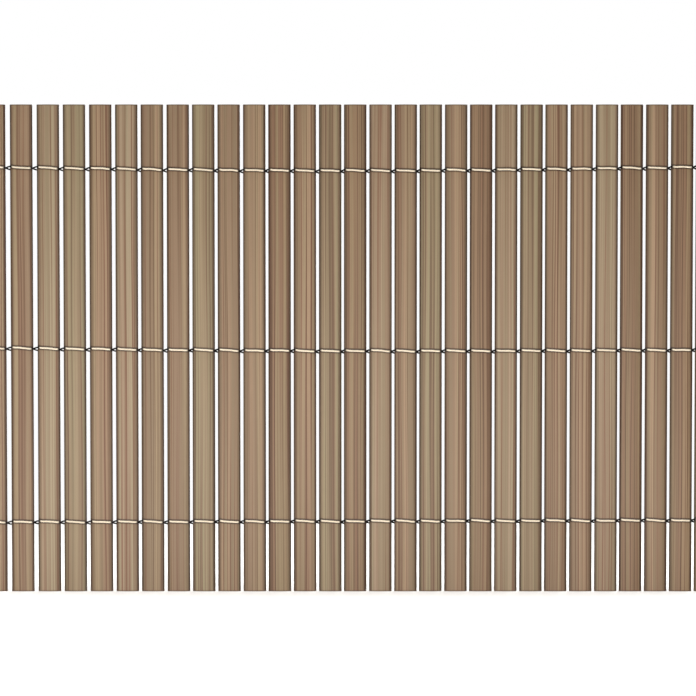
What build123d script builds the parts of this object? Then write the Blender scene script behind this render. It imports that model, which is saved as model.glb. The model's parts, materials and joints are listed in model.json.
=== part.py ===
from build123d import *
import math
import os

# A length of slatted privacy screen: hollow oval PVC slats stand side by side, and three rows of
# twined cord bind them. In each row two cords run together. One passes in front of a slat while
# the other passes behind it, and they cross in every gap, which is what keeps the slats apart.
# Millimetres. X runs across the screen, +Y to its back and +Z up. The origin is at the middle of
# its width and depth, level with the slats' lower ends.

# Slats: extruded ovals, cut square at both ends. Each face is a wide arc that runs into round
# edges, whose radius is less than half the depth by the crown.
SLAT_COUNT = 29
SLAT_LENGTH = 287.0
SLAT_WIDTH = 13.3
SLAT_DEPTH = 5.0
SLAT_WALL = 0.6
SLAT_CROWN = 1.0

# Cords. Each is drawn as a four-sided bar of the twine's thickness, measured over its corners.
CORD_DIAMETER = 1.0
CORD_SIDES = 4
CORD_CLEARANCE = 0.05

# Gaps between slats: how much wider they are than the cords that pass through them. They are
# wider at the screen's left end, close up within a few slats, and are never quite alike.
GAP_SLACK = 0.36
GAP_EXTRA_AT_LEFT = 1.1
GAP_CLOSES_OVER = 5.0
GAP_UNEVENNESS = 0.12
GAP_RHYTHM = 2.3

# The screen is this share wider along its top than along its foot.
FAN_OUT = 0.0074

# Rows of cord: the height of each above the slats' lower ends, how much higher its right end lies
# than its left, and how far it sags between them. The crossings are a little uneven too.
ROW_HEIGHTS = {"bottom": 41.0, "middle": 142.6, "top": 249.9}
ROW_TILTS = {"bottom": 1.2, "middle": -1.0, "top": 0.2}
ROW_SAGS = {"bottom": 0.1, "middle": 1.3, "top": 2.3}
ROW_UNEVENNESS = 0.15
ROW_RHYTHM = 1.9

# A cord comes round a slat's left edge this much above the row's line on the front of the slat, and
# this much below it on the back. By the slat's right edge it is back on the line.
CORD_RISE = 1.1
CORD_RISE_AT_MIDDLE = 0.7

FRONT = -1
BACK = 1


def gap_beside(index):
    """Width of the gap to the right of a slat, half way up the screen."""
    narrowest = CORD_DIAMETER + 2 * CORD_CLEARANCE + GAP_SLACK
    closing = GAP_EXTRA_AT_LEFT * math.exp(-index / GAP_CLOSES_OVER)
    return narrowest + closing + GAP_UNEVENNESS * math.sin(GAP_RHYTHM * index)


def slat_place(index, height):
    """How far to the right of the screen's middle a slat's own middle is, at a given height."""
    pitches = [SLAT_WIDTH + gap_beside(step) for step in range(SLAT_COUNT - 1)]
    place = sum(pitches[:index]) - sum(pitches) / 2
    return place * (1 + FAN_OUT * (height / SLAT_LENGTH - 0.5))


def edge_radius():
    """Radius of a slat's round edges."""
    return SLAT_DEPTH / 2 - SLAT_CROWN


def edge_centre():
    """Distance from a slat's middle to the centre of a round edge."""
    return SLAT_WIDTH / 2 - edge_radius()


def face_radius():
    """Radius of a slat's faces, for which they run smoothly into the round edges."""
    span = edge_centre() ** 2 + (SLAT_DEPTH / 2) ** 2 - edge_radius() ** 2
    return span / (2 * SLAT_CROWN)


def face_centre():
    """Distance from a slat's middle to the centre of a face's arc, on the slat's other side."""
    return face_radius() - SLAT_DEPTH / 2


def join_angle():
    """Which way the surface looks where a face runs into an edge, up from straight across."""
    return math.atan2(face_centre(), edge_centre())


def slat_outline():
    """The oval of a slat's outside: two faces and two edges, each one arc."""
    join_x = edge_centre() + edge_radius() * math.cos(join_angle())
    join_y = edge_radius() * math.sin(join_angle())
    back = ThreePointArc((-join_x, join_y), (0, SLAT_DEPTH / 2), (join_x, join_y))
    right = ThreePointArc((join_x, join_y), (SLAT_WIDTH / 2, 0), (join_x, -join_y))
    front = ThreePointArc((join_x, -join_y), (0, -SLAT_DEPTH / 2), (-join_x, -join_y))
    left = ThreePointArc((-join_x, -join_y), (-SLAT_WIDTH / 2, 0), (-join_x, join_y))
    return make_face([back, right, front, left])


def make_slat(index):
    """One hollow oval slat, cut square and leaning with the fan."""
    foot = slat_place(index, 0)
    head = slat_place(index, SLAT_LENGTH)
    lean = math.degrees(math.atan2(head - foot, SLAT_LENGTH))
    outside = slat_outline()
    slat = extrude(outside - offset(outside, -SLAT_WALL), amount=SLAT_LENGTH)
    return Pos(foot, 0, 0) * Rot(0, lean, 0) * slat


def crossing_place(number, height):
    """Where two cords cross, in the gap to the left of the slat of the same number.

    The crossings beyond the two end slats lie as far off as those in the nearest gap.
    """
    inner = min(max(number, 1), SLAT_COUNT - 1)
    left = slat_place(inner - 1, height)
    right = slat_place(inner, height)
    return (left + right) / 2 + (number - inner) * (right - left)


def crossing_height(row, number):
    """Height of the row's line at a crossing."""
    along = number / SLAT_COUNT
    line = ROW_HEIGHTS[row] + ROW_TILTS[row] * (along - 0.5)
    sag = ROW_SAGS[row] * math.sin(math.pi * along)
    return line - sag + ROW_UNEVENNESS * math.sin(ROW_RHYTHM * number + ROW_HEIGHTS[row])


def cord_offset():
    """Distance of a cord's middle from the slat's surface that it lies on."""
    return CORD_DIAMETER / 2 + CORD_CLEARANCE


def run_distance(angle):
    """How far from a slat's middle a run of cord lies that touches it square to this angle."""
    if angle < join_angle():
        return edge_centre() * math.cos(angle) + edge_radius() + cord_offset()
    return face_radius() - face_centre() * math.sin(angle) + cord_offset()


def crossing_angle(reach):
    """The angle of the run that touches a slat's edge and passes a crossing at this distance."""
    return math.acos((edge_radius() + cord_offset()) / (reach - edge_centre()))


def runs_meet(angle, other_angle):
    """The corner between two runs that touch the same slat, across from and beyond its middle."""
    turn = math.sin(other_angle - angle)
    near = run_distance(angle)
    far = run_distance(other_angle)
    across = (near * math.sin(other_angle) - far * math.sin(angle)) / turn
    beyond = (far * math.cos(angle) - near * math.cos(other_angle)) / turn
    return across, beyond


def face_run_angle():
    """The angle of the runs over a slat's face, which touch it half way from edge to middle."""
    return (join_angle() + math.pi / 2) / 2


def slat_corners(row, index, side):
    """A cord's corners at a slat's left edge, middle and right edge, on its front or its back."""
    middle = slat_place(index, ROW_HEIGHTS[row])
    left_reach = middle - crossing_place(index, ROW_HEIGHTS[row])
    right_reach = crossing_place(index + 1, ROW_HEIGHTS[row]) - middle
    left_across, left_beyond = runs_meet(crossing_angle(left_reach), face_run_angle())
    right_across, right_beyond = runs_meet(crossing_angle(right_reach), face_run_angle())
    crest = run_distance(face_run_angle()) / math.sin(face_run_angle())
    left_height = crossing_height(row, index)
    right_height = crossing_height(row, index + 1)
    middle_height = (left_height + right_height) / 2
    return [
        Vector(middle - left_across, side * left_beyond, left_height - side * CORD_RISE),
        Vector(middle, side * crest, middle_height - side * CORD_RISE_AT_MIDDLE),
        Vector(middle + right_across, side * right_beyond, right_height),
    ]


def trimmed_end(row, number, corner, height):
    """A cord's cut end, just past its last crossing, as far beyond as the corner before it."""
    return Vector(2 * crossing_place(number, ROW_HEIGHTS[row]) - corner.X, -corner.Y, height)


def cord_route(row, first_side):
    """Every corner of one cord, from its cut end left of the screen to the one right of it."""
    route = []
    side = first_side
    for index in range(SLAT_COUNT):
        route += slat_corners(row, index, side)
        side = -side
    start = trimmed_end(row, 0, route[0], crossing_height(row, 0))
    end_height = crossing_height(row, SLAT_COUNT) - side * CORD_RISE
    end = trimmed_end(row, SLAT_COUNT, route[-1], end_height)
    return [start, *route, end]


def make_cord(row, first_side):
    """One whole cord, pulled tight over its slats, with a corner of its section towards them."""
    route = cord_route(row, first_side)
    first_run = route[1] - route[0]
    section_plane = Plane(route[0], x_dir=first_run.cross(Vector(0, 0, 1)), z_dir=first_run)
    section = section_plane * RegularPolygon(CORD_DIAMETER / 2, CORD_SIDES)
    path = Polyline(*route)
    cord = sweep(section, path=path, transition=Transition.RIGHT)
    print(f"{row} cord: {path.length:.0f} mm long, {cord.volume / section.area / path.length:.3f}")
    return cord


def main():
    os.makedirs("parts", exist_ok=True)
    for index in range(SLAT_COUNT):
        export_step(make_slat(index), f"parts/slat_{index + 1:02d}.step")
    for row in ROW_HEIGHTS:
        for number, first_side in enumerate((FRONT, BACK), start=1):
            export_step(make_cord(row, first_side), f"parts/{row}_cord_{number}.step")


main()
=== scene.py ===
import json
import math

import bpy
import numpy as np
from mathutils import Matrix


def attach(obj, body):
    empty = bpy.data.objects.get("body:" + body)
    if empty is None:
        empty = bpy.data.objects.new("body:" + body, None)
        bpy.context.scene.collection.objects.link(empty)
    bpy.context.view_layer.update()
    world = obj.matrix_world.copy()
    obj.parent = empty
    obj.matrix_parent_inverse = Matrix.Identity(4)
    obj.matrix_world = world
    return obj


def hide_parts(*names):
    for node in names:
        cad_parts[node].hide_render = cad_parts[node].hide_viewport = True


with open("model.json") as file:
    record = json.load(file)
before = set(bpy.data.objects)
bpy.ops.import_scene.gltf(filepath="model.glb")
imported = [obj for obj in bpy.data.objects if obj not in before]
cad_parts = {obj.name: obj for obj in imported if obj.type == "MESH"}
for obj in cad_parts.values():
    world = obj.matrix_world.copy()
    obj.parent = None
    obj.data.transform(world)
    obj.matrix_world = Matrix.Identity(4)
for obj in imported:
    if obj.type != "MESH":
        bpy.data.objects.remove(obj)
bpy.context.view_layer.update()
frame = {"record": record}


# Slats. Each is a hollow oval rod of rigid PVC, extruded in one length, sawn off square and
# deburred. Pigments that are never stirred in fully leave soft streaks along it. Nothing but the
# three rows of cord holds the slats together. Sizes are in millimetres, as in the part's source.
SLAT_COUNT = 29
SLAT_LENGTH = 287.0
SLAT_WIDTH = 13.3
SLAT_DEPTH = 5.0
SLAT_WALL = 0.6
SLAT_CROWN = 1.0
SLAT_RIM_RADIUS = 0.12

# The oval's two kinds of arc: the round edges, and the wide faces that run smoothly into them.
EDGE_RADIUS = SLAT_DEPTH / 2 - SLAT_CROWN
EDGE_CENTRE = SLAT_WIDTH / 2 - EDGE_RADIUS
FACE_RADIUS = (EDGE_CENTRE**2 + (SLAT_DEPTH / 2) ** 2 - EDGE_RADIUS**2) / (2 * SLAT_CROWN)
FACE_CENTRE = FACE_RADIUS - SLAT_DEPTH / 2
JOIN_ANGLE = math.atan2(FACE_CENTRE, EDGE_CENTRE)

# The gaps are wider at the screen's left end, close up within a few slats, and are never quite
# alike. The screen is a little wider along its top than along its foot.
NARROWEST_GAP = 1.46
GAP_EXTRA_AT_LEFT = 1.1
GAP_CLOSES_OVER = 5.0
GAP_UNEVENNESS = 0.12
GAP_RHYTHM = 2.3
FAN_OUT = 0.0074


def slat_places():
    """Each slat's distance from the screen's middle, half way up.

    A gap is the narrowest one, plus an extra that dies away to the right, plus a sine's waver.
    """
    step = np.arange(SLAT_COUNT - 1)
    closing = GAP_EXTRA_AT_LEFT * np.exp(-step / GAP_CLOSES_OVER)
    gaps = NARROWEST_GAP + closing + GAP_UNEVENNESS * np.sin(GAP_RHYTHM * step)
    places = np.concatenate([[0.0], np.cumsum(SLAT_WIDTH + gaps)])
    return places - places[-1] / 2


def fan(share_up):
    """The screen's width at a share of its height, over its width half way up."""
    return 1 + FAN_OUT * (share_up - 0.5)


def oval(angle, offset):
    """Points of a slat's oval, moved out by an offset, where its surface faces these angles.

    Up to the join angle they turn about the centre of the round edge, and from there on about
    that of the wide face, far past the slat's other side. Both arcs are mirrored into all four
    quarters.
    """
    quarter_angle = np.arctan2(np.abs(np.sin(angle)), np.abs(np.cos(angle)))
    on_edge = quarter_angle < JOIN_ANGLE
    radius = np.where(on_edge, EDGE_RADIUS, FACE_RADIUS) + offset
    across = np.where(on_edge, EDGE_CENTRE, 0) + radius * np.cos(quarter_angle)
    beyond = np.where(on_edge, 0, -FACE_CENTRE) + radius * np.sin(quarter_angle)
    return np.sign(np.cos(angle)) * across, np.sign(np.sin(angle)) * beyond


def angles_round_slat(edge_steps, face_steps):
    """Surface angles once round the oval, in even steps on each edge and on each face."""
    edge = np.linspace(-JOIN_ANGLE, JOIN_ANGLE, 2 * edge_steps, endpoint=False)
    face = np.linspace(JOIN_ANGLE, math.pi - JOIN_ANGLE, 2 * face_steps, endpoint=False)
    half = np.concatenate([edge, face])
    return np.concatenate([half, half + math.pi])


def wall_path(rows, corner_steps):
    """Inset and height along the wall's cut: up the outside, over the rim and down the inside.

    The four corners are quarter circles of the rim's radius. The rows between them are even, with
    a few more in the last millimetre at each end, where the mark of the saw fades.
    """
    low = SLAT_RIM_RADIUS
    high = SLAT_LENGTH - SLAT_RIM_RADIUS
    near_end = np.array([0.0, 0.3, 0.6, 1.0])
    even = np.linspace(low, high, rows)[1:-1]
    straight = np.concatenate([low + near_end, even, high - near_end[::-1]])
    turn = np.linspace(0, math.pi / 2, corner_steps + 1)[1:]
    corner_inset = SLAT_RIM_RADIUS * (1 - np.cos(turn))
    corner_height = SLAT_RIM_RADIUS * np.sin(turn)
    outside_inset = np.concatenate([np.zeros(straight.size), corner_inset])
    outside_height = np.concatenate([straight, high + corner_height])
    inset = np.concatenate([outside_inset, SLAT_WALL - outside_inset[::-1]])
    height = np.concatenate([outside_height, outside_height[::-1]])
    foot_inset = np.concatenate([SLAT_WALL - corner_inset, corner_inset[::-1]])
    foot_height = np.concatenate([low - corner_height, low - corner_height[::-1]])
    return np.concatenate([inset, foot_inset]), np.concatenate([height, foot_height])


def grid_faces(rows, columns, rows_close):
    """Quads between neighbours in a grid whose columns, and rows if they close, go all round."""
    row = np.arange(rows if rows_close else rows - 1)[:, None]
    column = np.arange(columns)[None, :]
    next_row = (row + 1) % rows
    next_column = (column + 1) % columns
    corners = np.broadcast_arrays(
        row * columns + column,
        row * columns + next_column,
        next_row * columns + next_column,
        next_row * columns + column,
    )
    return np.stack(corners, axis=-1).reshape(-1, 4)


def make_piece(name, points, faces, attributes, material, node):
    """A smooth mesh from points in millimetres, which stands for one of the frame's nodes.

    Each attribute has three numbers or one at every point, for the material to read.
    """
    mesh = bpy.data.meshes.new(name)
    mesh.from_pydata(points.reshape(-1, 3) / 1000, [], faces)
    for title, values in attributes.items():
        has_three = values.ndim == points.ndim
        kind, field = ("FLOAT_VECTOR", "vector") if has_three else ("FLOAT", "value")
        mesh.attributes.new(title, kind, "POINT").data.foreach_set(field, values.ravel())
    mesh.shade_smooth()
    mesh.materials.append(material)
    piece = bpy.data.objects.new(name, mesh)
    bpy.context.scene.collection.objects.link(piece)
    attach(piece, "root")
    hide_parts(node)


def linear(hex_colour):
    """The linear colour of an sRGB hex value: a straight foot, then a power of 2.4."""
    channels = np.array([int(hex_colour[start : start + 2], 16) for start in (1, 3, 5)]) / 255
    curved = np.where(channels > 0.04045, ((channels + 0.055) / 1.055) ** 2.4, channels / 12.92)
    return (*curved.tolist(), 1.0)


def add_node(tree, kind, properties=None, inputs=None):
    """A new node with its properties set, and with each input given a value or a link."""
    node = tree.nodes.new(kind)
    for name, value in (properties or {}).items():
        setattr(node, name, value)
    for name, value in (inputs or {}).items():
        if isinstance(value, bpy.types.NodeSocket):
            tree.links.new(value, node.inputs[name])
        else:
            node.inputs[name].default_value = value
    return node


# The three rows of cord, which cast painted shadows on the slats that they press on: each row's
# height, how much higher its right end lies than its left, its sag between them, and its draw of
# random numbers.
# The crossings in a row are a little uneven too.
ROWS = {
    "bottom": {"height": 41.0, "tilt": 1.2, "sag": 0.1, "draw": 11},
    "middle": {"height": 142.6, "tilt": -1.0, "sag": 1.3, "draw": 12},
    "top": {"height": 249.9, "tilt": 0.2, "sag": 2.3, "draw": 13},
}
ROW_UNEVENNESS = 0.15
ROW_RHYTHM = 1.9
FRONT = -1
BACK = 1

# A cord's rise over a slat: the shares of the cosine and the sine of once, three, five and seven
# times the way from one crossing to the next. All change sign there, as the two cords swap. The
# spreads say how far a cord strays from that on one slat, as a whole and from end to end.
RISE_WAVES = {1: (0.384, 0.526), 3: (0.097, 0.145), 5: (0.028, 0.104), 7: (0.010, 0.052)}
LIFT_SPREAD = 0.10
SLANT_SPREAD = 0.13


def crossings(row):
    """Where a row meets the slats: their places, and the crossings' places and heights.

    A crossing lies half way between two slats, and the two outermost are as far off as the next
    ones in. A row's line is its height, tilted, less a half sine of sag, plus a small waver.
    """
    number = np.arange(SLAT_COUNT + 1)
    along = number / SLAT_COUNT
    form = ROWS[row]
    slats = slat_places() * fan(form["height"] / SLAT_LENGTH)
    middles = (slats[1:] + slats[:-1]) / 2
    pitches = slats[1:] - slats[:-1]
    places = np.concatenate([[middles[0] - pitches[0]], middles, [middles[-1] + pitches[-1]]])
    line = form["height"] + form["tilt"] * (along - 0.5) - form["sag"] * np.sin(math.pi * along)
    return slats, places, line + ROW_UNEVENNESS * np.sin(ROW_RHYTHM * number + form["height"])


def cord_height(row, index, side, share):
    """Height of the cord on one side of the screen, at a share of the way over a slat.

    It lies above the row's line in front, and as far below it behind, by the sum of the waves. No
    two slats are alike: each adds a random lift times the sine squared, and a random slant times
    that and the cosine, which both vanish at the crossings.
    """
    heights = crossings(row)[2]
    chance = np.random.default_rng(ROWS[row]["draw"])
    spreads = np.array([LIFT_SPREAD, SLANT_SPREAD])[:, None, None]
    lift, slant = chance.normal(0, spreads, (2, 2, SLAT_COUNT))
    behind = (np.asarray(side) == BACK).astype(int)
    turn = math.pi * share
    rise = sum(
        wave[0] * np.cos(times * turn) + wave[1] * np.sin(times * turn)
        for times, wave in RISE_WAVES.items()
    )
    line = heights[index] + (heights[index + 1] - heights[index]) * share
    sway = (lift[behind, index] + slant[behind, index] * np.cos(turn)) * np.sin(turn) ** 2
    return line - side * rise + sway


# The colours of each kind of slat: its own, then the paler and the darker streaks in it.
SLAT_TONES = {
    "slat_tan": ("#75604a", "#867057", "#5d402b"),
    "slat_olive": ("#75634b", "#817258", "#5d4431"),
    "slat_brown": ("#705741", "#7d684e", "#523521"),
    "slat_rose": ("#745e47", "#877158", "#5d3c29"),
    "slat_pale": ("#7b6851", "#8a7861", "#674833"),
}

# The streaks in a slat: how wide and how long each kind is in millimetres, the octaves of finer
# detail in it, and the values of the noise between which it comes and goes. Real die lines are
# about 0.1 mm apart, too fine to show, so they are drawn coarser.
STREAKS = {
    "band": {"width": 3.2, "length": 560.0, "detail": 1.0, "span": (0.39, 0.61)},
    "thread": {"width": 0.8, "length": 420.0, "detail": 1.0, "span": (0.45, 0.72)},
    "flush": {"width": 2.2, "length": 340.0, "detail": 1.0, "span": (0.38, 0.62)},
    "die_line": {"width": 0.45, "length": 150.0, "detail": 2.0, "span": (0.2, 0.8)},
}

# What a flush multiplies the colour by, from rosy to olive.
ROSY_FLUSH = (1.025, 0.975, 0.965, 1.0)
OLIVE_FLUSH = (0.975, 1.02, 0.975, 1.0)

# Where a cord's painted shadow darkens a slat: from none to most of it, in millimetres from a
# cord's middle.
CORD_SHADOW_ABOVE = (1.9, 1.0)
CORD_SHADOW_BELOW = (-1.75, -0.75)
CORD_SHADOW_STRENGTH = 0.8
CORD_SHADOW_COLOUR = "#281606"


def streaked_pvc(name, own, pale, dark):
    """Rigid PVC extruded from a marbled melt: satin, with drawn-out streaks and faint die lines.

    The eye sees soft bands 1 to 3 mm wide that wander along the whole slat, some rosy and some
    olive, thin darker threads among them, and a broad, dull sheen. Both edges are darkened with
    painted shade, the right one a little more. Saw cuts are scorched, and a painted shadow darkens
    a band above and below each cord.
    """
    material = bpy.data.materials.new(name)
    material.use_nodes = True
    tree = material.node_tree
    shader = tree.nodes["Principled BSDF"]
    marks = {
        mark: add_node(tree, "ShaderNodeAttribute", {"attribute_name": mark})
        for mark in ("grain", "over_cords", "shaded_edge", "scorched")
    }
    grain = marks["grain"].outputs["Vector"]
    eased = {"interpolation_type": "SMOOTHSTEP"}

    streaks = {}
    for streak, form in STREAKS.items():
        scale = (1 / form["width"], 1 / form["width"], 1 / form["length"])
        drawn_out = add_node(tree, "ShaderNodeMapping", inputs={"Vector": grain, "Scale": scale})
        inputs = {"Vector": drawn_out.outputs["Vector"], "Scale": 1.0, "Detail": form["detail"]}
        noise = add_node(tree, "ShaderNodeTexNoise", inputs=inputs)
        low, high = form["span"]
        inputs = {"Value": noise.outputs["Fac"], "From Min": low, "From Max": high}
        streaks[streak] = add_node(tree, "ShaderNodeMapRange", eased, inputs).outputs["Result"]

    over_cords = marks["over_cords"].outputs["Vector"]
    # Painted shadow of each row of cord on the slat: a band round the cord's line, full inside and
    # fading out above and below it.
    cord_shadows = []
    for distance in add_node(tree, "ShaderNodeSeparateXYZ", inputs={0: over_cords}).outputs:
        strength = CORD_SHADOW_STRENGTH
        for none, most in (CORD_SHADOW_ABOVE, CORD_SHADOW_BELOW):
            inputs = {"Value": distance, "From Min": none, "From Max": most, "To Max": strength}
            strength = add_node(tree, "ShaderNodeMapRange", eased, inputs).outputs["Result"]
        cord_shadows.append(strength)

    # A Mix node takes its share at socket 0 and its colours at 6 and 7, and gives one at 2.
    inputs = {0: streaks["flush"], 6: ROSY_FLUSH, 7: OLIVE_FLUSH}
    flush = add_node(tree, "ShaderNodeMix", {"data_type": "RGBA"}, inputs).outputs[2]
    colour = linear(own)
    for share, layer, blend in (
        (streaks["band"], linear(pale), "MIX"),
        (streaks["thread"], linear(dark), "MIX"),
        (1.0, flush, "MULTIPLY"),
        # The cords' painted shadows on the slat.
        *((strength, linear(CORD_SHADOW_COLOUR), "MIX") for strength in cord_shadows),
        # Painted shade on the slat's edges, a near-black brown.
        (marks["shaded_edge"].outputs["Fac"], linear("#2c1604"), "MIX"),
        (marks["scorched"].outputs["Fac"], linear("#3a2414"), "MIX"),
    ):
        layers = {"data_type": "RGBA", "blend_type": blend}
        inputs = {0: share, 6: colour, 7: layer}
        colour = add_node(tree, "ShaderNodeMix", layers, inputs).outputs[2]
    tree.links.new(colour, shader.inputs["Base Color"])

    inputs = {"Height": streaks["die_line"], "Strength": 0.35, "Distance": 0.00003}
    die_lines = add_node(tree, "ShaderNodeBump", inputs=inputs)
    tree.links.new(die_lines.outputs["Normal"], shader.inputs["Normal"])
    shader.inputs["Roughness"].default_value = 0.5
    shader.inputs["IOR"].default_value = 1.53
    shader.inputs["Specular IOR Level"].default_value = 0.3
    return material


slat_materials = {
    slot: streaked_pvc(slot.replace("slat", "streaked_pvc"), *tones)
    for slot, tones in SLAT_TONES.items()
}

# The grain of a slat wanders sideways as two slow waves, this far and in these rhythms over its
# length. Each slat's grain is a stretch of its own, cut from a block of this size, and each has
# its own draw of random numbers, counted on from the first slat's.
WANDER = (0.08, 0.25)
WANDER_RHYTHMS = (4.0, 9.0)
GRAIN_BLOCK = 1000
FIRST_SLAT_DRAW = 700

# Painted shade on a slat's edges sets in this far from its middle, and rises on an eased curve
# over the width that follows to its full strength, which is a little more at the right edge than
# at the left.
EDGE_SHADE_FROM = 4.35
EDGE_SHADE_OVER = 2.0
EDGE_SHADE_LEFT = 0.76
EDGE_SHADE_RIGHT = 0.86

# How strongly the saw scorched a slat's ends, and how far from them that can be seen.
SCORCH_STRENGTH = 0.9
SCORCH_REACH = 0.8


def make_slat(index, slot):
    """One hollow slat that leans with the fan: the oval carried along the cut of its wall."""
    chance = np.random.default_rng(FIRST_SLAT_DRAW + index)
    inset, height = wall_path(rows=24, corner_steps=3)
    angle = angles_round_slat(edge_steps=8, face_steps=6)
    across, beyond = oval(angle[None, :], -inset[:, None])
    height = np.broadcast_to(height[:, None], across.shape)
    share_up = height / SLAT_LENGTH
    points = np.stack([slat_places()[index] * fan(share_up) + across, beyond, height], axis=-1)

    waves = chance.uniform(*WANDER, 2)[:, None, None]
    starts = chance.uniform(0, 2 * math.pi, 2)[:, None, None]
    rhythms = np.array(WANDER_RHYTHMS)[:, None, None]
    wander = np.sum(waves * np.sin(rhythms * share_up + starts), axis=0)
    stretch = GRAIN_BLOCK * chance.uniform(0, 1, 3)

    side = np.where(beyond < 0, FRONT, BACK)
    over_cords = []
    for row in ROWS:
        slats, places, _ = crossings(row)
        share = (slats[index] + across - places[index]) / (places[index + 1] - places[index])
        over_cords.append(height - cord_height(row, index, side, share))

    # Painted shade on both edges, where the oval turns away to the side.
    out = np.clip((np.abs(across) - EDGE_SHADE_FROM) / EDGE_SHADE_OVER, 0, 1)
    edge_shade = np.where(across > 0, EDGE_SHADE_RIGHT, EDGE_SHADE_LEFT)
    from_cut = np.minimum(height, SLAT_LENGTH - height)
    attributes = {
        "grain": np.stack([across + wander, beyond, height], axis=-1) + stretch,
        "over_cords": np.stack(over_cords, axis=-1),
        "shaded_edge": out**2 * (3 - 2 * out) * edge_shade,
        "scorched": SCORCH_STRENGTH * np.clip(1 - from_cut / SCORCH_REACH, 0, 1),
    }
    faces = grid_faces(*across.shape, rows_close=True)
    node = f"slat_{index + 1:02d}"
    make_piece(f"{node}_streaked", points, faces, attributes, slat_materials[slot], node)


slots = {subpart["node"]: subpart["material_slot"] for subpart in frame["record"]["subparts"]}
for index in range(SLAT_COUNT):
    make_slat(index, slots[f"slat_{index + 1:02d}"])


# Cords. Each row has two lengths of gold-coloured polyester twine, three plies twisted together.
# They are woven in by machine, pulled tight: one in front of a slat while the other is behind it,
# and crossed in every gap. Slats and cords only press on each other.
CORD_DIAMETER = 1.0
CORD_CLEARANCE = 0.05
TWINE_RADIUS = 0.53
PLY_COUNT = 3
PLY_RADIUS = 0.232
PLY_TWIST_PITCH = 2.35
PLY_SIDES = 9
PLY_STEP = 0.27

# Points along a cord's middle, beside each half of a slat and on the straight run before it.
POINTS_BY_SLAT = 60
POINTS_ON_RUN = 5


def cord_line(row, first_side):
    """The middle of one cord, as points that lie close together.

    Beside a slat it follows the oval at half its own thickness, from the angle at which a straight
    run from the crossing touches it. Where two points coincide, one is left out.
    """
    slats, places, _ = crossings(row)
    offset = CORD_DIAMETER / 2 + CORD_CLEARANCE
    side = (first_side * (-1) ** np.arange(SLAT_COUNT))[:, None]
    to_middle = np.linspace(0, 1, POINTS_BY_SLAT)
    to_touch = np.linspace(0, 1, POINTS_ON_RUN, endpoint=False)
    halves = []
    for hand, reach in ((-1, slats - places[:-1]), (1, places[1:] - slats)):
        reach = reach[:, None]
        touch = np.arccos((EDGE_RADIUS + offset) / (reach - EDGE_CENTRE))
        across, beyond = oval(touch + (math.pi / 2 - touch) * to_middle, offset)
        across[:, -1] = 0
        run_across = reach + (across[:, :1] - reach) * to_touch
        across = np.concatenate([run_across, across], axis=1)
        beyond = np.concatenate([beyond[:, :1] * to_touch, beyond], axis=1)
        halves.append((slats[:, None] + hand * across, side * beyond))
    x = np.concatenate([halves[0][0], halves[1][0][:, ::-1]], axis=1)
    y = np.concatenate([halves[0][1], halves[1][1][:, ::-1]], axis=1)
    share = (x - places[:-1, None]) / (places[1:, None] - places[:-1, None])
    z = cord_height(row, np.arange(SLAT_COUNT)[:, None], side, share)
    points = np.stack([x.ravel(), y.ravel(), z.ravel()], axis=-1)
    fresh = np.append(True, np.linalg.norm(np.diff(points, axis=0), axis=1) > 1e-6)
    return points[fresh]


def even_steps(points, step):
    """The same line in even steps, and how far along it each point is."""
    lengths = np.linalg.norm(np.diff(points, axis=0), axis=1)
    along = np.concatenate([[0.0], np.cumsum(lengths)])
    distance = np.linspace(0, along[-1], round(along[-1] / step) + 1)
    stepped = [np.interp(distance, along, points[:, axis]) for axis in range(3)]
    return np.stack(stepped, axis=-1), distance


# Painted shade blackens the twine as it goes in between two slats: from this distance in front of
# or behind the screen's middle, over the depth that follows.
GAP_SHADE_FROM = 2.3
GAP_SHADE_OVER = 0.3

# Painted shade darkens the grooves between the plies: from this distance from the twine's middle,
# over the depth that follows, and up to this share of the colour.
GROOVE_SHADE_FROM = 0.46
GROOVE_SHADE_OVER = 0.16
GROOVE_SHADE_SHARE = 0.65

# Real filaments are about 0.02 mm thick, too fine to show, so they are drawn coarser. The plies'
# filaments lie this far apart in the noise, so that no two plies are alike.
FILAMENT_WIDTH = 0.06
FILAMENT_LENGTH = 0.9
PLIES_APART = 5


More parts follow.
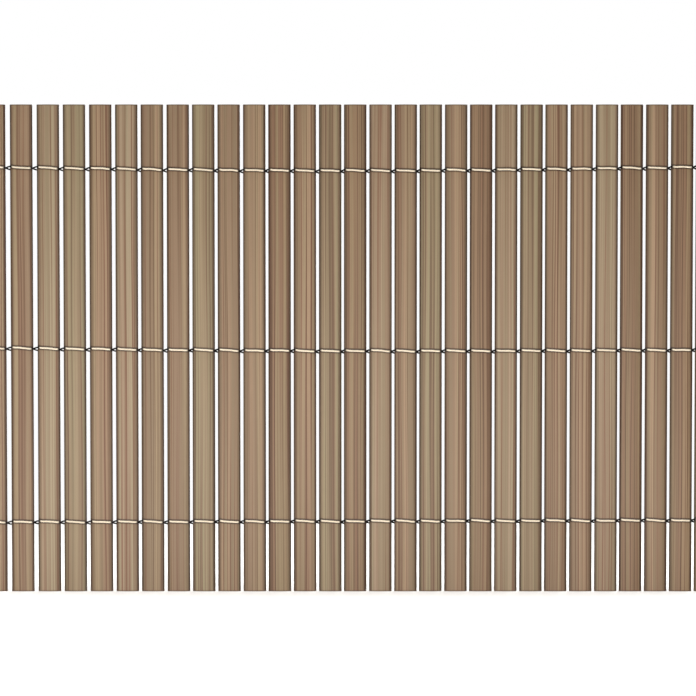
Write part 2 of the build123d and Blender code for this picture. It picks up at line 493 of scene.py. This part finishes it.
def make_cord(row, number, first_side, material):
    """One twine: three round plies that turn about its middle, a third of a turn apart.

    Each ply is a circle carried along its own spiral. The spiral's frame is the cord's direction,
    the level direction square to it, and the one square to both. Seen along the cord, a circle's
    corners go round clockwise, so that the faces look outwards. Points deep between the plies,
    and those in the gaps between slats, are marked for the material.
    """
    line, distance = even_steps(cord_line(row, first_side), PLY_STEP)
    direction = np.gradient(line, axis=0)
    direction /= np.linalg.norm(direction, axis=1, keepdims=True)
    level = np.cross(direction, (0, 0, 1))
    level /= np.linalg.norm(level, axis=1, keepdims=True)
    upright = np.cross(level, direction)

    ply = np.arange(PLY_COUNT)[:, None, None]
    turn = 2 * math.pi * (distance[None, :, None] / PLY_TWIST_PITCH + ply / PLY_COUNT)
    corner = -2 * math.pi * np.arange(PLY_SIDES) / PLY_SIDES
    spiral_radius = TWINE_RADIUS - PLY_RADIUS
    sideways = spiral_radius * np.cos(turn) + PLY_RADIUS * np.cos(turn + corner)
    upwards = spiral_radius * np.sin(turn) + PLY_RADIUS * np.sin(turn + corner)
    points = (
        line[None, :, None, :]
        + sideways[..., None] * level[None, :, None, :]
        + upwards[..., None] * upright[None, :, None, :]
    )

    grain = (
        PLY_RADIUS * np.cos(corner) + PLIES_APART * ply,
        PLY_RADIUS * np.sin(corner),
        distance[None, :, None],
    )
    # Painted shade: black where the twine goes in between two slats.
    shaded_in_gap = np.clip((GAP_SHADE_FROM - np.abs(line[:, 1])) / GAP_SHADE_OVER, 0, 1)[None, :, None]
    # Painted shade in the grooves between the plies.
    depth = (GROOVE_SHADE_FROM - np.hypot(sideways, upwards)) / GROOVE_SHADE_OVER
    attributes = {
        "grain": np.stack([np.broadcast_to(part, sideways.shape) for part in grain], axis=-1),
        "shaded_groove": GROOVE_SHADE_SHARE * np.clip(depth, 0, 1),
        "shaded_in_gap": np.broadcast_to(shaded_in_gap, sideways.shape),
    }

    rings = distance.size
    side_faces = grid_faces(rings, PLY_SIDES, rows_close=False)
    near_end = np.arange(PLY_SIDES)[::-1]
    far_end = np.arange(PLY_SIDES) + (rings - 1) * PLY_SIDES
    faces = []
    for first in np.arange(PLY_COUNT) * rings * PLY_SIDES:
        faces += (side_faces + first).tolist()
        faces += [(near_end + first).tolist(), (far_end + first).tolist()]
    node = f"{row}_cord_{number}"
    make_piece(f"{node}_twine", points, faces, attributes, material, node)


def polyester_twine():
    """Bright polyester filament, dyed pale gold and twisted into plies: glossy along its length.

    The eye sees cream beads with painted brown shade between them. In the gaps between slats,
    where the two cords cross, painted shade turns the twine black.
    """
    material = bpy.data.materials.new("polyester_twine")
    material.use_nodes = True
    tree = material.node_tree
    shader = tree.nodes["Principled BSDF"]
    marks = {
        mark: add_node(tree, "ShaderNodeAttribute", {"attribute_name": mark})
        for mark in ("grain", "shaded_groove", "shaded_in_gap")
    }
    shaded_groove = marks["shaded_groove"].outputs["Fac"]
    shaded_in_gap = marks["shaded_in_gap"].outputs["Fac"]

    scale = (1 / FILAMENT_WIDTH, 1 / FILAMENT_WIDTH, 1 / FILAMENT_LENGTH)
    inputs = {"Vector": marks["grain"].outputs["Vector"], "Scale": scale}
    drawn_out = add_node(tree, "ShaderNodeMapping", inputs=inputs)
    inputs = {"Vector": drawn_out.outputs["Vector"], "Scale": 1.0}
    filaments = add_node(tree, "ShaderNodeTexNoise", inputs=inputs).outputs["Fac"]

    colour = linear("#f8e4c0")
    for share, layer in (
        (filaments, linear("#fcf4e4")),
        # Painted shade in the grooves between the plies, brown.
        (shaded_groove, linear("#6a4a28")),
        # Painted shade in the gaps between slats.
        (shaded_in_gap, linear("#040302")),
    ):
        inputs = {0: share, 6: colour, 7: layer}
        colour = add_node(tree, "ShaderNodeMix", {"data_type": "RGBA"}, inputs).outputs[2]
    tree.links.new(colour, shader.inputs["Base Color"])

    inputs = {"Height": filaments, "Strength": 0.4, "Distance": 0.00003}
    ridges = add_node(tree, "ShaderNodeBump", inputs=inputs)
    tree.links.new(ridges.outputs["Normal"], shader.inputs["Normal"])
    inputs = {"Value": shaded_in_gap, "To Min": 0.35, "To Max": 0.95}
    roughness = add_node(tree, "ShaderNodeMapRange", inputs=inputs).outputs["Result"]
    tree.links.new(roughness, shader.inputs["Roughness"])
    shader.inputs["IOR"].default_value = 1.57
    shader.inputs["Specular IOR Level"].default_value = 0.15
    return material


twine = polyester_twine()
for row in ROWS:
    for number, first_side in enumerate((FRONT, BACK), start=1):
        make_cord(row, number, first_side, twine)


# The floor that the screen stands on: matt white board, as in a photographer's light tent. From
# the middle it reaches this many metres each way.
FLOOR_REACH = 1.2

floor_mesh = bpy.data.meshes.new("floor")
floor_corners = [
    (FLOOR_REACH * right, FLOOR_REACH * back, 0)
    for right, back in ((-1, -1), (1, -1), (1, 1), (-1, 1))
]
floor_mesh.from_pydata(floor_corners, [], [(0, 1, 2, 3)])
white_board = bpy.data.materials.new("white_board")
white_board.use_nodes = True
board_shader = white_board.node_tree.nodes["Principled BSDF"]
board_shader.inputs["Base Color"].default_value = linear("#fbfaf8")
board_shader.inputs["Roughness"].default_value = 0.9
floor_mesh.materials.append(white_board)
floor = bpy.data.objects.new("floor", floor_mesh)
bpy.context.scene.collection.objects.link(floor)


# Light: a long soft box low in front and a little to the left, a wide one above, which whitens
# the floor, and one behind, whose beam is narrow so that the floor there doesn't glare. The room
# gives some light from all round, and the camera sees it as plain white paper.
def add_soft_box(name, place, aim, size, power, spread):
    """An area light of this size in metres and power in watts, which looks from place to aim.

    It is tipped up from straight down, then turned about the upright. A grid on its front holds
    the beam to the spread, in degrees.
    """
    light = bpy.data.lights.new(name, "AREA")
    light.shape = "RECTANGLE"
    light.size, light.size_y = size
    light.energy = power
    light.spread = math.radians(spread)
    lamp = bpy.data.objects.new(name, light)
    x, y, z = np.array(place) - np.array(aim)
    lamp.location = place
    lamp.rotation_euler = (math.atan2(math.hypot(x, y), z), 0, math.atan2(x, -y))
    lamp.visible_camera = False
    bpy.context.scene.collection.objects.link(lamp)


add_soft_box("front_box", (-0.06, -0.42, 0.06), (-0.02, 0, 0.02), (0.9, 0.1), 2.1, 180)
add_soft_box("top_box", (0, -0.4, 2.2), (0, -0.2, 0), (2.4, 2.4), 44, 180)
add_soft_box("back_box", (0.5, 1.8, 0.6), (0, 0, 0.1), (1.2, 1.2), 5.5, 40)

ROOM_LIGHT = 0.46
PAPER_WHITE = 1.0

world = bpy.data.worlds.new("white_room")
bpy.context.scene.world = world
world.use_nodes = True
world.node_tree.nodes.clear()
room, paper = (
    add_node(
        world.node_tree,
        "ShaderNodeBackground",
        inputs={"Color": (1, 1, 1, 1), "Strength": strength},
    )
    for strength in (ROOM_LIGHT, PAPER_WHITE)
)
ray = add_node(world.node_tree, "ShaderNodeLightPath")
seen = add_node(
    world.node_tree,
    "ShaderNodeMixShader",
    inputs={0: ray.outputs["Is Camera Ray"], 1: room.outputs[0], 2: paper.outputs[0]},
)
add_node(world.node_tree, "ShaderNodeOutputWorld", inputs={"Surface": seen.outputs[0]})
bpy.context.scene.view_settings.view_transform = "Standard"


# Camera: square on to the screen from 3 m, at half its height, and as wide as the photograph.
CAMERA_DISTANCE = 3.0
VIEW_WIDTH = 0.4106
VIEW_MIDDLE = (-0.0016, 0.1434)

camera = bpy.data.objects.new("camera", bpy.data.cameras.new("camera"))
camera.data.lens = camera.data.sensor_width * CAMERA_DISTANCE / VIEW_WIDTH
camera.location = (VIEW_MIDDLE[0], -CAMERA_DISTANCE, VIEW_MIDDLE[1])
camera.rotation_euler = (math.pi / 2, 0, 0)
bpy.context.scene.collection.objects.link(camera)
bpy.context.scene.camera = camera
